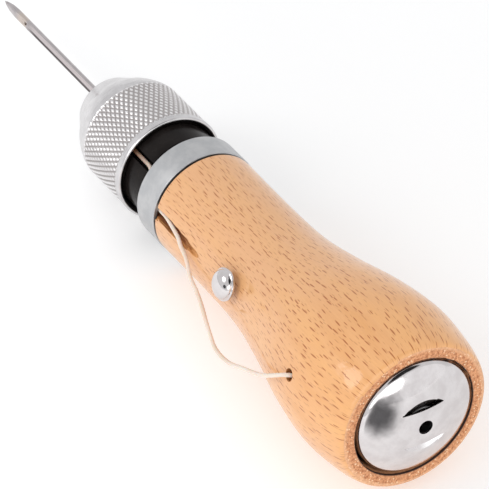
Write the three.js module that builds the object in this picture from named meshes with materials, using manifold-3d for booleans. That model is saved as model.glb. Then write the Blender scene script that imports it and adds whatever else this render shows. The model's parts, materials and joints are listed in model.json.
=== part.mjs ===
// Lock-stitch sewing awl: a turned beech handle that holds a bobbin of waxed thread in its butt,
// a metal ferrule, a moulded chuck with a knurled screw cap, and an eyed needle.
//
// Units are millimetres. The awl is built along its own axis, with s = 0 at the wooden butt face and
// s growing towards the needle point, and is then laid down on the plane z = 0, where it rests on the
// bulge of the handle and on the knurled cap. The needle points along -X, and the origin is under
// the middle of the awl. Angles round the axis are in degrees from straight up, negative towards -Y.

import * as THREE from 'three';
import { mergeVertices } from 'three/addons/utils/BufferGeometryUtils.js';
import Module from 'manifold-3d';

const wasm = await Module();
wasm.setup();

// ---------------------------------------------------------------- driving dimensions

const SIDES = 20; // flats round a turned piece
const FIT_GAP = 0.3; // gap left between pieces that touch

const BULGE_AT = 15; // station of the handle's greatest radius
const BULGE_RADIUS = 18.9;
const WOOD_END = 82; // station of the wooden shoulder behind the ferrule
const NECK_RADIUS = 12.4; // wood behind the ferrule
const BORE_RADIUS = 13.65; // bobbin bore in the butt
const BORE_DEPTH = 29;
const TENON_RADIUS = 11.3; // wood inside the ferrule
const TENON_END = 86.5;

const FERRULE_RADIUS = 12.6;
const FERRULE_WALL = 1;
const FERRULE_END = 89.35;

const SPIGOT_RADIUS = 7.3; // chuck tail glued into the handle
const SPIGOT_END = 61.5;
const CHUCK_NECK_RADIUS = 9.6;
const CHUCK_THREAD_RADIUS = 10.9;
const CHUCK_THREAD_START = 91;
const CHUCK_FRONT = 113.2;
const THREAD_SLOT_WIDTH = 2.2;
const THREAD_SLOT_ANGLE = -46.4;
const THREAD_SLOT_FLOOR = 9.2;

const CAP_RADIUS = 12.5;
const CAP_MOUTH = 97.15;
const CAP_KNURL_END = 112.5;
const CAP_FRONT = 124;
const CAP_NOSE_RADIUS = 7.2;
const CAP_BORE_RADIUS = 11.4;
const CAP_BORE_END = 113.8;

const NEEDLE_RADIUS = 1;
const NEEDLE_TAIL = 95;
const NEEDLE_POINT = 172;
const EYE_AT = 161.1;
const EYE_LENGTH = 1.6;
const EYE_WIDTH = 0.7;
const EYE_SIDE = -78; // angle of the needle's eye
const GROOVE_SIDE = -92; // angle of its long groove

const POST_AT = 51; // tension post
const POST_ANGLE = -68.5;
const POST_SHANK_RADIUS = 1.5;
const POST_HEAD_RADIUS = 3.5;
const POST_HEAD_SEAT = 14.2; // distance of the head's underside from the awl's axis
const POST_HEAD_HEIGHT = 2.3;

const SIDE_HOLE_AT = 18.5; // hole the thread leaves the bobbin bore by
const SIDE_HOLE_ANGLE = -71.3;
const SIDE_HOLE_RADIUS = 1.5;

const DOME_RADIUS = 13.3; // bobbin
const DOME_CROWN = -4;
const DOME_CROWN_CURVE = 24;
const DOME_EDGE_CURVE = 1.9;
const DOME_SKIRT_END = 2;
const DOME_SHEET = 0.6;
const DOME_HOLE_RADIUS = 1.6;
const LOUVRE_OFFSET = 4.4;
const LOUVRE_LENGTH = 9.5;
const LOUVRE_WIDTH = 0.8;
const FLANGE_RADIUS = 12.4;
const FLANGE_THICKNESS = 0.8;
const INNER_FLANGE_AT = 27;
const CORE_RADIUS = 4.2;
const CORE_WALL = 0.8;
const WINDING_RADIUS = 9.6;

const THREAD_DIAMETER = 0.95;

// ---------------------------------------------------------------- materials

function finish(color, roughness, metalness) {
  return new THREE.MeshStandardMaterial({ color, roughness, metalness });
}

const beech = finish(0xe9b88b, 0.35, 0);
const zinc = finish(0xb4b6b8, 0.45, 0.9);
const aluminium = finish(0xcfcbcb, 0.3, 0.95);
const polishedSteel = finish(0xd8d4d4, 0.12, 1);
const needleSteel = finish(0xb9b4b4, 0.3, 1);
const brass = finish(0xc8a75a, 0.35, 1);
const nylon = finish(0x24201f, 0.35, 0);
const waxedThread = finish(0xf0dccb, 0.7, 0);

// ---------------------------------------------------------------- helpers

// A point at station s, at an angle from straight up and at a radius from the axis.
function around(s, angle, radius) {
  const turn = THREE.MathUtils.degToRad(angle);
  return new THREE.Vector3(radius * Math.cos(turn), radius * Math.sin(turn), s);
}

// A body of revolution round the Y axis. Its outline is [radius, height] pairs, and the radii are
// those of the flats, one of which lies at the bottom of the awl.
function lathed(outline, sides) {
  const acrossCorners = 1 / Math.cos(Math.PI / sides);
  const points = outline.map(([radius, height]) => new THREE.Vector2(radius * acrossCorners, height));
  return new THREE.LatheGeometry(points, sides, Math.PI / sides);
}

// The same, round the awl's axis.
function turned(outline, sides = SIDES) {
  return lathed(outline, sides).rotateX(Math.PI / 2);
}

// Moves a geometry made round the Y axis so that Y points straight out of the awl at an angle.
function standingOut(geometry, s, angle, radius) {
  const out = around(0, angle, 1);
  const along = new THREE.Vector3(0, 0, 1);
  const across = new THREE.Vector3().crossVectors(out, along);
  const place = new THREE.Matrix4().makeBasis(across, out, along);
  return geometry.applyMatrix4(place.setPosition(around(s, angle, radius)));
}

// A round rod between two points.
function rod(radius, from, to, sides = 16) {
  const run = new THREE.Vector3().subVectors(to, from);
  const lean = new THREE.Quaternion().setFromUnitVectors(new THREE.Vector3(0, 1, 0), run.clone().normalize());
  const middle = new THREE.Vector3().addVectors(from, to).multiplyScalar(0.5);
  const place = new THREE.Matrix4().compose(middle, lean, new THREE.Vector3(1, 1, 1));
  return new THREE.CylinderGeometry(radius, radius, run.length(), sides).applyMatrix4(place);
}

function solidOf(geometry) {
  const bare = geometry.clone();
  bare.deleteAttribute('normal');
  bare.deleteAttribute('uv');
  const merged = mergeVertices(bare, 1e-4);
  const corners = merged.index.array;
  const triVerts = [];
  for (let i = 0; i < corners.length; i += 3) {
    const [a, b, c] = [corners[i], corners[i + 1], corners[i + 2]];
    if (a !== b && b !== c && c !== a) triVerts.push(a, b, c);
  }
  const vertProperties = merged.attributes.position.array;
  return new wasm.Manifold(new wasm.Mesh({ numProp: 3, vertProperties, triVerts: Uint32Array.from(triVerts) }));
}

// The geometry with every cutter taken out of it.
function cutBy(geometry, ...cutters) {
  const left = cutters.reduce((solid, cutter) => solid.subtract(solidOf(cutter)), solidOf(geometry));
  const mesh = left.getMesh();
  const result = new THREE.BufferGeometry();
  result.setAttribute('position', new THREE.BufferAttribute(mesh.vertProperties, 3));
  result.setIndex(new THREE.BufferAttribute(mesh.triVerts, 1));
  result.computeVertexNormals();
  return result;
}

const awl = new THREE.Group();

function addPiece(name, geometry, material) {
  const mesh = new THREE.Mesh(geometry, material);
  mesh.name = name;
  awl.add(mesh);
  return mesh;
}

// ---------------------------------------------------------------- handle and ferrule

// Side of the handle, from the rounded butt edge over the bulge to the neck, as [radius, s].
function handleSide() {
  const shape = new THREE.SplineCurve([
    [16, 0],
    [17.2, 1.2],
    [18.25, 6],
    [BULGE_RADIUS, BULGE_AT],
    [17.55, 26],
    [14.9, 38],
    [12.9, 50],
    [NECK_RADIUS, 64],
    [12.5, WOOD_END],
  ].map(([radius, s]) => new THREE.Vector2(radius, s)));
  const stepsPerSpan = 3;
  return shape.getPoints(8 * stepsPerSpan).map((point) => [point.x, point.y]);
}

// Cutter for the long groove that leads the thread under the ferrule. It leaves the wood where the
// groove runs out, and is deepest in the tenon.
function woodGroove() {
  const radius = 1.35;
  const runOut = around(62, -76.8, 13.9);
  const shoulder = around(WOOD_END, -73.8, 11.6);
  const inward = new THREE.Vector3().subVectors(shoulder, runOut).multiplyScalar(1.3);
  return rod(radius, runOut, runOut.clone().add(inward));
}

// Outside, the handle has its true radius at its corners, one of which lies at the bottom of the awl
// and carries it. Inside, it has its true radius at the flats, so that its bores stay clear.
function handle() {
  const acrossCorners = 1 / Math.cos(Math.PI / SIDES);
  const bore = BORE_RADIUS * acrossCorners;
  const socket = (SPIGOT_RADIUS + FIT_GAP) * acrossCorners;
  const outline = [
    [0, BORE_DEPTH],
    [bore, BORE_DEPTH],
    [bore, 0],
    ...handleSide(),
    [TENON_RADIUS, WOOD_END],
    [TENON_RADIUS, TENON_END],
    [socket, TENON_END],
    [socket, SPIGOT_END - FIT_GAP],
    [0, SPIGOT_END - FIT_GAP],
  ].map(([radius, s]) => new THREE.Vector2(radius, s));
  const blank = new THREE.LatheGeometry(outline, SIDES).rotateX(Math.PI / 2);
  const sideHole = rod(
    SIDE_HOLE_RADIUS,
    around(SIDE_HOLE_AT, SIDE_HOLE_ANGLE, BORE_RADIUS - 3),
    around(SIDE_HOLE_AT, SIDE_HOLE_ANGLE, BULGE_RADIUS + 3),
  );
  const postHole = rod(
    POST_SHANK_RADIUS + FIT_GAP,
    around(POST_AT, POST_ANGLE, 5.5),
    around(POST_AT, POST_ANGLE, BULGE_RADIUS),
  );
  return cutBy(blank, sideHole, postHole, woodGroove());
}

function ferrule() {
  const start = WOOD_END + FIT_GAP;
  const inner = FERRULE_RADIUS - FERRULE_WALL;
  return turned([
    [inner, start],
    [FERRULE_RADIUS, start],
    [FERRULE_RADIUS, FERRULE_END - 0.4],
    [FERRULE_RADIUS - 0.12, FERRULE_END - 0.12],
    [FERRULE_RADIUS - 0.4, FERRULE_END],
    [inner + 0.2, FERRULE_END],
    [inner, FERRULE_END - 0.2],
    [inner, start],
  ]);
}

// A round-headed stud driven into the wood. Thread can be wrapped round its neck to brake it.
function tensionPost() {
  const foot = 6;
  const seat = POST_HEAD_SEAT - foot;
  const dome = [];
  const steps = 6;
  for (let i = 0; i <= steps; i++) {
    const turn = (i / steps) * (Math.PI / 2);
    dome.push([POST_HEAD_RADIUS * Math.cos(turn), seat + 0.6 + (POST_HEAD_HEIGHT - 0.6) * Math.sin(turn)]);
  }
  dome[steps][0] = 0;
  const outline = [
    [0, 0],
    [POST_SHANK_RADIUS * 0.4, 0],
    [POST_SHANK_RADIUS, 1.6],
    [POST_SHANK_RADIUS, seat],
    [POST_HEAD_RADIUS - 0.3, seat],
    [POST_HEAD_RADIUS, seat + 0.3],
    ...dome,
  ];
  return standingOut(lathed(outline, 16), POST_AT, POST_ANGLE, foot);
}

// ---------------------------------------------------------------- chuck, needle and cap

// The chuck's thread slot is shallow along the screw and runs down to the needle at the front.
function threadSlot() {
  const outside = CHUCK_THREAD_RADIUS + 1;
  const side = new THREE.Shape([
    new THREE.Vector2(THREAD_SLOT_FLOOR, CHUCK_THREAD_START - 0.2),
    new THREE.Vector2(outside, CHUCK_THREAD_START - 0.2),
    new THREE.Vector2(outside, CHUCK_FRONT + 1),
    new THREE.Vector2(0.8, CHUCK_FRONT + 1),
    new THREE.Vector2(0.8, 105),
    new THREE.Vector2(THREAD_SLOT_FLOOR, 99.5),
  ]);
  const slab = new THREE.ExtrudeGeometry(side, { depth: THREAD_SLOT_WIDTH, bevelEnabled: false });
  slab.translate(0, 0, -THREAD_SLOT_WIDTH / 2);
  slab.rotateX(Math.PI / 2);
  return slab.rotateZ(THREE.MathUtils.degToRad(THREAD_SLOT_ANGLE));
}

function chuckBody() {
  const needleHole = NEEDLE_RADIUS + 0.5;
  const body = turned([
    [0, SPIGOT_END],
    [SPIGOT_RADIUS, SPIGOT_END],
    [SPIGOT_RADIUS, TENON_END + FIT_GAP],
    [CHUCK_NECK_RADIUS, TENON_END + FIT_GAP],
    [CHUCK_NECK_RADIUS, CHUCK_THREAD_START],
    [CHUCK_THREAD_RADIUS, CHUCK_THREAD_START],
    [CHUCK_THREAD_RADIUS, CHUCK_FRONT - 0.6],
    [CHUCK_THREAD_RADIUS - 0.6, CHUCK_FRONT],
    [needleHole, CHUCK_FRONT],
    [needleHole, NEEDLE_TAIL - 2],
    [0, NEEDLE_TAIL - 2],
  ]);
  return cutBy(body, threadSlot());
}

// Seat of the collet inside the cap, and the collet itself, as [radius, s] from back to front.
const COLLET_BACK = CAP_BORE_END - FIT_GAP;
const SEAT = [[5.2, CAP_BORE_END], [5.2, 115.8], [2.8, 119.5]];
const COLLET = [[4.8, COLLET_BACK], [4.8, 115.5], [2.45, 119.1]];

function needleCollet() {
  const hole = NEEDLE_RADIUS + FIT_GAP;
  const ring = turned([[hole, COLLET_BACK], ...COLLET, [hole, 119.1], [hole, COLLET_BACK]]);
  const slits = [30, 150, 270].map((angle) => {
    const slit = new THREE.BoxGeometry(6, 0.5, 5).translate(3.2, 0, 117.9);
    return slit.rotateZ(THREE.MathUtils.degToRad(angle));
  });
  return cutBy(ring, ...slits);
}

function needle() {
  const blade = turned([
    [0, NEEDLE_TAIL],
    [NEEDLE_RADIUS * 0.8, NEEDLE_TAIL],
    [NEEDLE_RADIUS, NEEDLE_TAIL + 0.6],
    [NEEDLE_RADIUS, EYE_AT - 3],
    [1.14, NEEDLE_POINT - 6],
    [0.95, NEEDLE_POINT - 3.5],
    [0.45, NEEDLE_POINT - 1],
    [0, NEEDLE_POINT],
  ], 12);
  const grooveBack = CAP_FRONT + 2;
  const grooveLength = EYE_AT - grooveBack;
  const groove = new THREE.BoxGeometry(0.8, 0.5, grooveLength).translate(0.95, 0, grooveBack + grooveLength / 2);
  const eye = new THREE.BoxGeometry(4, EYE_WIDTH, EYE_LENGTH).translate(0, 0, EYE_AT);
  groove.rotateZ(THREE.MathUtils.degToRad(GROOVE_SIDE));
  eye.rotateZ(THREE.MathUtils.degToRad(EYE_SIDE));
  return cutBy(blade, groove, eye);
}

function chuckCap() {
  const hole = NEEDLE_RADIUS + 0.35;
  const shoulder = new THREE.SplineCurve([
    [CAP_RADIUS, CAP_KNURL_END],
    [12.1, 114.5],
    [11.1, 117],
    [9.8, 119.2],
    [8.8, 121],
    [CAP_NOSE_RADIUS, CAP_FRONT],
  ].map(([radius, s]) => new THREE.Vector2(radius, s)));
  return turned([
    [CAP_BORE_RADIUS + 0.5, CAP_MOUTH],
    [CAP_RADIUS - 0.3, CAP_MOUTH],
    [CAP_RADIUS, CAP_MOUTH + 0.3],
    ...shoulder.getPoints(10).map((point) => [point.x, point.y]),
    [hole, CAP_FRONT],
    [hole, 119.5],
    ...SEAT.toReversed(),
    [CAP_BORE_RADIUS, CAP_BORE_END],
    [CAP_BORE_RADIUS, CAP_MOUTH + 0.8],
    [CAP_BORE_RADIUS + 0.5, CAP_MOUTH],
  ]);
}

// ---------------------------------------------------------------- bobbin

// Crown and rolled edge of the dome, offset inwards by inset, as [radius, s] from the centre hole.
function domeOutline(inset) {
  const crownCentre = DOME_CROWN + DOME_CROWN_CURVE;
  const edgeRadius = DOME_RADIUS - DOME_EDGE_CURVE;
  const edgeReach = DOME_CROWN_CURVE - DOME_EDGE_CURVE;
  const edgeCentre = crownCentre - Math.sqrt(edgeReach ** 2 - edgeRadius ** 2);
  const tangent = Math.asin(edgeRadius / edgeReach);
  const crown = DOME_CROWN_CURVE - inset;
  const edge = DOME_EDGE_CURVE - inset;
  const start = Math.asin(DOME_HOLE_RADIUS / crown);
  const outline = [];
  for (let i = 0; i <= 5; i++) {
    const turn = start + (tangent - start) * (i / 5);
    outline.push([crown * Math.sin(turn), crownCentre - crown * Math.cos(turn)]);
  }
  for (let i = 1; i <= 4; i++) {
    const turn = tangent + (Math.PI / 2 - tangent) * (i / 4);
    outline.push([edgeRadius + edge * Math.sin(turn), edgeCentre - edge * Math.cos(turn)]);
  }
  outline.push([DOME_RADIUS - inset, DOME_SKIRT_END]);
  return outline;
}

function bobbinDome() {
  const outer = domeOutline(0);
  const inner = domeOutline(DOME_SHEET);
  const shell = turned([...outer, ...inner.toReversed(), outer[0]]);
  const slits = [-LOUVRE_OFFSET, LOUVRE_OFFSET].map((offset) => {
    return new THREE.BoxGeometry(LOUVRE_WIDTH, LOUVRE_LENGTH, 4).translate(offset, 0, DOME_CROWN + 1);
  });
  return cutBy(shell, ...slits);
}

function ring(inner, outer, back, front, sides = SIDES) {
  return turned([[inner, back], [outer, back], [outer, front], [inner, front], [inner, back]], sides);
}

const OUTER_FLANGE_AT = DOME_SKIRT_END + FIT_GAP;
const WINDING_START = OUTER_FLANGE_AT + FLANGE_THICKNESS + FIT_GAP;

// ---------------------------------------------------------------- sewing thread

// Route of the thread from the winding out through the side hole, in a slack loop beside the handle,
// along the groove, under the ferrule and up the chuck's slot to the needle: [s, angle, radius].
const THREAD_ROUTE = [
  [21.5, -150, 10.5],
  [20.9, -130, 10.7],
  [20.1, -108, 11.2],
  [19.2, -90, 11.7],
  [18.4, -78, 12.6],
  [18.0, -72.5, 14.2],
  [18.0, -71.3, 16.2],
  [18.3, -71.2, 18.2],
  [19.2, -72.2, 19.7],
  [21.4, -76.5, 20.2],
  [24.8, -83, 20],
  [29.2, -90.5, 19.5],
  [34.9, -99, 19.4],
  [40.0, -106, 19.8],
  [44.4, -110, 19.8],
  [48.0, -111, 19.4],
  [50.7, -110, 18.5],
  [53.9, -107, 17.3],
  [56.9, -103, 16.1],
  [60.2, -99, 15.1],
  [63.6, -95.3, 14.4],
  [65.4, -91, 13.8],
  [67.4, -84.4, 13.3],
  [69.6, -78.6, 13.3],
  [72.0, -75.2, 12.8],
  [75.4, -73, 12.3],
  [79.0, -72.2, 11.7],
  [82.4, -74.6, 11.05],
  [85.2, -73.4, 10.7],
  [87.0, -69.5, 10.6],
  [88.6, -61, 10.6],
  [90.0, -51.5, 10.5],
  [91.6, -47, 10.4],
  [94.5, -46.4, 10.3],
  [98.0, -46.4, 10.2],
  [101, -46.4, 9.7],
  [104, -46.4, 8.3],
  [106.6, -46.4, 6.2],
  [108.6, -46.4, 4.2],
  [110.4, -46.4, 3.1],
  [112.4, -46.4, 2.7],
];
const THREAD_STEPS = 80;

function sewingThread() {
  const section = new THREE.Shape();
  section.absarc(0, 0, THREAD_DIAMETER / 2, 0, 2 * Math.PI);
  const route = new THREE.CatmullRomCurve3(THREAD_ROUTE.map(([s, angle, radius]) => around(s, angle, radius)));
  const settings = { steps: THREAD_STEPS, curveSegments: 4, bevelEnabled: false, extrudePath: route };
  return new THREE.ExtrudeGeometry(section, settings);
}

// ---------------------------------------------------------------- assembly

addPiece('handle', handle(), beech);
addPiece('ferrule', ferrule(), zinc);
addPiece('chuck_body', chuckBody(), nylon);
addPiece('tension_post', tensionPost(), polishedSteel);
addPiece('needle', needle(), needleSteel);
addPiece('needle_collet', needleCollet(), brass);
addPiece('chuck_cap', chuckCap(), aluminium);
addPiece('bobbin_dome', bobbinDome(), polishedSteel);
addPiece('bobbin_outer_flange', ring(CORE_RADIUS + FIT_GAP, FLANGE_RADIUS, OUTER_FLANGE_AT,
  OUTER_FLANGE_AT + FLANGE_THICKNESS), polishedSteel);
addPiece('bobbin_inner_flange', ring(CORE_RADIUS + FIT_GAP, FLANGE_RADIUS, INNER_FLANGE_AT,
  INNER_FLANGE_AT + FLANGE_THICKNESS), polishedSteel);
addPiece('bobbin_core', ring(CORE_RADIUS - CORE_WALL, CORE_RADIUS, DOME_CROWN + 1.4,
  INNER_FLANGE_AT + FLANGE_THICKNESS), polishedSteel);
addPiece('thread_winding', ring(CORE_RADIUS + FIT_GAP, WINDING_RADIUS, WINDING_START,
  INNER_FLANGE_AT - FIT_GAP), waxedThread);

// Lay the awl down on its bulge and its cap, then bring the origin under the middle of it.
const tilt = Math.atan2(BULGE_RADIUS - CAP_RADIUS, CAP_KNURL_END - BULGE_AT);
awl.rotation.y = -(Math.PI / 2 + tilt);
awl.updateMatrixWorld(true);
const box = new THREE.Box3().setFromObject(awl, true);
awl.position.set(-(box.min.x + box.max.x) / 2, -(box.min.y + box.max.y) / 2, -box.min.z);

addPiece('sewing_thread', sewingThread(), waxedThread);

const group = new THREE.Group();
group.add(awl);

export default group;
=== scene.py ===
"""Looks of a lock-stitch sewing awl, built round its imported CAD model.

Pieces are shaped in the awl's own frame, in millimetres: x is up, y goes across, and z is the station
along the axis, from the wooden butt face at 0 towards the needle point. Angles round the axis are in
degrees from straight up, negative towards the side with the thread. Each finished piece is then put into
the row frame, in metres.
"""

import json
import math

import bmesh
import bpy
import numpy as np
from mathutils import Matrix, Vector, noise


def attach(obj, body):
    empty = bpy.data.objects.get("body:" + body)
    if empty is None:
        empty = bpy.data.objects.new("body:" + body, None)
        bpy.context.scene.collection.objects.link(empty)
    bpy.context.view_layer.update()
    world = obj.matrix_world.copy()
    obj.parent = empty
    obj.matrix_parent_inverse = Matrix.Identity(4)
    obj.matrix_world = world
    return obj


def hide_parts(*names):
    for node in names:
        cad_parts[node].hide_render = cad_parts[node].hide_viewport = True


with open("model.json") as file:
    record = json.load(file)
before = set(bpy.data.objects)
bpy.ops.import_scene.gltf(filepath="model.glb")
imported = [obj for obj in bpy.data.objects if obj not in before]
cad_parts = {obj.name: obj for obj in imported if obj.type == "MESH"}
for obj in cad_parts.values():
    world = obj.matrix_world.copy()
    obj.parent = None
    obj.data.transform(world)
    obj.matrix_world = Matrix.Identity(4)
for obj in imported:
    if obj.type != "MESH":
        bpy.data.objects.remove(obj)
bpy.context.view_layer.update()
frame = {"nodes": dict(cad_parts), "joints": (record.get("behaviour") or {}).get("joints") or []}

# ---------------- the awl's own frame

MM = 0.001
SPIN = next(joint for joint in frame["joints"] if joint["name"] == "bobbin_spin")
ALONG = Vector(SPIN["axis"])
ACROSS = Vector((0, 1, 0))
AWL = Matrix((ACROSS.cross(ALONG), ACROSS, ALONG)).transposed().to_4x4()
AWL.translation = SPIN["pos_m"]


def around(station, angle, radius):
    """A point in the awl's own frame."""
    turn = math.radians(angle)
    return Vector((radius * math.cos(turn), radius * math.sin(turn), station))


def in_row(point):
    """A point of the awl's own frame in the row frame."""
    return AWL @ (Vector(point) * MM)


def extent(node):
    """Lowest station, highest station and radius over the flats of a CAD node."""
    to_awl = AWL.inverted()
    points = np.array([to_awl @ vertex.co for vertex in frame["nodes"][node].data.vertices]) / MM
    return points[:, 2].min(), points[:, 2].max(), np.abs(points[:, 0]).max()


# ---------------- sizes

BORE_RADIUS = 13.65
BORE_DEPTH = 29.0
WOOD_END = 82.0
SHOULDER_AT = 81.75  # where the lacquer stops behind the ferrule
END_GRAIN_END = (0.15, 1.05)  # where the lacquer stops on the rounded butt edge, least and most
END_GRAIN_LEAST_ANGLE = -30  # where it stops nearest to the butt face; it stops furthest on the other side
TENON_RADIUS = 11.3
TENON_END = 86.5
SPIGOT_HOLE_RADIUS = 7.6
SPIGOT_HOLE_END = 61.2
HANDLE_SIDE = [(16, 0), (17.2, 1.2), (18.25, 6), (18.9, 15), (17.55, 26), (14.9, 38), (12.9, 50), (12.4, 64),
               (12.5, WOOD_END)]
GROOVE_RUN_OUT = (62, -76.8, 13.9)  # station, angle and radius, as for the groove's other points
GROOVE_SHOULDER = (WOOD_END, -73.8, 11.6)
GROOVE_RADIUS = 1.35
GROOVE_ROUGHNESS = 0.25
CHIP_START = (80.6, -78.5, 12.6)
CHIP_END = (84, -79.5, 11.8)
CHIP_RADIUS = 0.7
CHIP_ROUGHNESS = 0.4

SIDE_HOLE_AT = 18.5
SIDE_HOLE_ANGLE = -71.3
SIDE_HOLE_RADIUS = 1.5
SIDE_HOLE_SURFACE = 18.75  # distance of the hole's mouth from the axis
POST_AT = 51.0
POST_ANGLE = -68.5
POST_FOOT = 6.0
POST_SHANK_RADIUS = 1.5
POST_SOCKET_RADIUS = 1.6
POST_SOCKET_FOOT = 5.5
POST_HEAD_RADIUS = 3.5
POST_HEAD_SEAT = 14.2
POST_HEAD_HEIGHT = 2.3

THREAD_DIAMETER = 0.95
THREAD_CLEARANCE = 0.03  # taken off the strand, so that its plies stay inside the CAD thread
# station, angle and radius of each point, as in the CAD
THREAD_ROUTE = [
    (21.5, -150, 10.5),
    (20.9, -130, 10.7),
    (20.1, -108, 11.2),
    (19.2, -90, 11.7),
    (18.4, -78, 12.6),
    (18.0, -72.5, 14.2),
    (18.0, -71.3, 16.2),
    (18.3, -71.2, 18.2),
    (19.2, -72.2, 19.7),
    (21.4, -76.5, 20.2),
    (24.8, -83, 20),
    (29.2, -90.5, 19.5),
    (34.9, -99, 19.4),
    (40.0, -106, 19.8),
    (44.4, -110, 19.8),
    (48.0, -111, 19.4),
    (50.7, -110, 18.5),
    (53.9, -107, 17.3),
    (56.9, -103, 16.1),
    (60.2, -99, 15.1),
    (63.6, -95.3, 14.4),
    (65.4, -91, 13.8),
    (67.4, -84.4, 13.3),
    (69.6, -78.6, 13.3),
    (72.0, -75.2, 12.8),
    (75.4, -73, 12.3),
    (79.0, -72.2, 11.7),
    (82.4, -74.6, 11.05),
    (85.2, -73.4, 10.7),
    (87.0, -69.5, 10.6),
    (88.6, -61, 10.6),
    (90.0, -51.5, 10.5),
    (91.6, -47, 10.4),
    (94.5, -46.4, 10.3),
    (98.0, -46.4, 10.2),
    (101, -46.4, 9.7),
    (104, -46.4, 8.3),
    (106.6, -46.4, 6.2),
    (108.6, -46.4, 4.2),
    (110.4, -46.4, 3.1),
    (112.4, -46.4, 2.7),
]

# ---------------- camera, floor and light

LENS = 311.2
LOOK_AT_STATION = 65.9
CAMERA_DISTANCE = 0.8807
CAMERA_ANGLE = -31.75  # round the awl's axis
CAMERA_LEAN = 46.63  # between the line of sight and the awl's axis, seen from the butt
NEEDLE_HEADING = 134.51  # direction of the needle in the picture, counter-clockwise from its right

WORLD_BRIGHTNESS = 0.84
LIGHT_DISTANCE = 0.9
# name, azimuth, elevation, width and height, brightness
SOFTBOXES = [
    ("key", 67, 20, (1.04, 0.4), 1.6),
    ("fill", 118, 10, (0.85, 0.56), 0.22),
    ("window", 343, 38, (0.38, 0.38), 4),
]
FLOOR_REACH = 3.0
# a spot by the tension post's head (station, angle, radius), and the azimuth and elevation the card faces
PANE_BARS = [
    ((48.8, -65.6, 16.0), 7, 14),
    ((48.2, -62.9, 15.0), 119, 16),
    ((47.8, -69.4, 15.0), 102, -40),
    ((49.4, -58.5, 15.4), 144, 70),
]
PANE_BAR_SIZE = (0.0032, 0.0022)
PANE_BAR_DISTANCE = 0.004


def make_camera():
    data = bpy.data.cameras.new("camera")
    data.lens = LENS
    camera = bpy.data.objects.new("camera", data)
    bpy.context.collection.objects.link(camera)
    lean = math.radians(CAMERA_LEAN)
    back = AWL.to_3x3() @ around(-math.cos(lean), CAMERA_ANGLE, math.sin(lean))
    needle = (ALONG - ALONG.dot(back) * back).normalized()
    beside = back.cross(needle)
    heading = math.radians(NEEDLE_HEADING)
    right = math.cos(heading) * needle - math.sin(heading) * beside
    up = math.sin(heading) * needle + math.cos(heading) * beside
    camera.matrix_world = Matrix((right, up, back)).transposed().to_4x4()
    camera.location = in_row((0, 0, LOOK_AT_STATION)) + back * CAMERA_DISTANCE
    bpy.context.scene.camera = camera


def towards(azimuth, elevation):
    """Direction from the awl to a place seen at an azimuth, 0 at -Y and 90 at +X, and an elevation."""
    a, e = math.radians(azimuth), math.radians(elevation)
    return Vector((math.sin(a) * math.cos(e), -math.cos(a) * math.cos(e), math.sin(e)))


def facing(place, front):
    """Matrix of something level that stands at a place, with its +Z side towards front."""
    z = front.normalized()
    x = Vector((0, 0, 1)).cross(z).normalized()
    return Matrix.Translation(place) @ Matrix((x, z.cross(x), z)).transposed().to_4x4()


def softbox(name, azimuth, elevation, size, brightness):
    """An oval area light that faces the awl and isn't seen by the camera. Its power grows with its area
    and its brightness."""
    data = bpy.data.lights.new(name, "AREA")
    data.shape = "ELLIPSE"
    data.size, data.size_y = size
    area = math.pi / 4 * size[0] * size[1]
    data.energy = brightness * math.pi * area
    light = bpy.data.objects.new(name, data)
    bpy.context.collection.objects.link(light)
    back = towards(azimuth, elevation)
    light.matrix_world = facing(back * LIGHT_DISTANCE, back)
    light.visible_camera = False


def rectangle(name, w, h):
    """A flat mesh that reaches w and h to each side of its middle."""
    mesh = bpy.data.meshes.new(name)
    mesh.from_pydata([(-w, -h, 0), (w, -h, 0), (w, h, 0), (-w, h, 0)], [], [(0, 1, 2, 3)])
    return mesh


def card(name, place, front, size, colour, fade):
    """A flat oval card with soft ragged edges that only shows in reflections."""
    w, h = size[0] / 2, size[1] / 2
    mesh = rectangle(name, w, h)
    obj = bpy.data.objects.new(name, mesh)
    bpy.context.collection.objects.link(obj)
    obj.matrix_world = facing(place, front)
    obj.visible_camera = obj.visible_diffuse = obj.visible_shadow = False
    f = Finish(name, Base_Color=(0, 0, 0, 1), Specular_IOR_Level=0, Emission_Color=(*colour, 1),
               Emission_Strength=1)
    spot = f.scaled(f.node("TexCoord", {}, "Object"), 1 / w, 1 / h, 0)
    reach = f.node("VectorMath", {0: spot}, "Value", operation="LENGTH")
    ragged = f.times(f.minus(f.noise(spot, 2.2, 4, 0.6), 0.5), 0.5)
    mesh.materials.append(f.wear(Alpha=f.ease(f.plus(reach, ragged), 1, 1 - fade)))


def make_studio():
    scene = bpy.context.scene
    scene.view_settings.view_transform = "Standard"
    world = bpy.data.worlds.new("studio")
    scene.world = world
    world.use_nodes = True
    background = world.node_tree.nodes["Background"]
    background.inputs["Color"].default_value = (0.985, 0.99, 1, 1)
    background.inputs["Strength"].default_value = WORLD_BRIGHTNESS
    for light in SOFTBOXES:
        softbox(*light)
    beside_dome = in_row((0, 0, -4)) + towards(77, 8) * 0.014 + towards(347, 0) * 0.01
    card("dark_side", beside_dome, towards(77, 0), size=(0.024, 0.028), colour=(0.15, 0.15, 0.155), fade=0.75)
    above = towards(98, 56)
    card("dark_top", above * LIGHT_DISTANCE, above, size=(0.95, 0.7), colour=(0.03, 0.03, 0.03), fade=0.25)
    for number, (spot, azimuth, elevation) in enumerate(PANE_BARS):
        away = towards(azimuth, elevation)
        place = in_row(around(*spot)) + away * PANE_BAR_DISTANCE
        card(f"pane_bar_{number}", place, away, PANE_BAR_SIZE, colour=(0.05, 0.05, 0.055), fade=0.4)
    floor = bpy.data.objects.new("floor", rectangle("floor", FLOOR_REACH, FLOOR_REACH))
    bpy.context.collection.objects.link(floor)
    return floor


# ---------------- mesh helpers

CREASE = 40  # degrees; sharper edges are kept sharp


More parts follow.
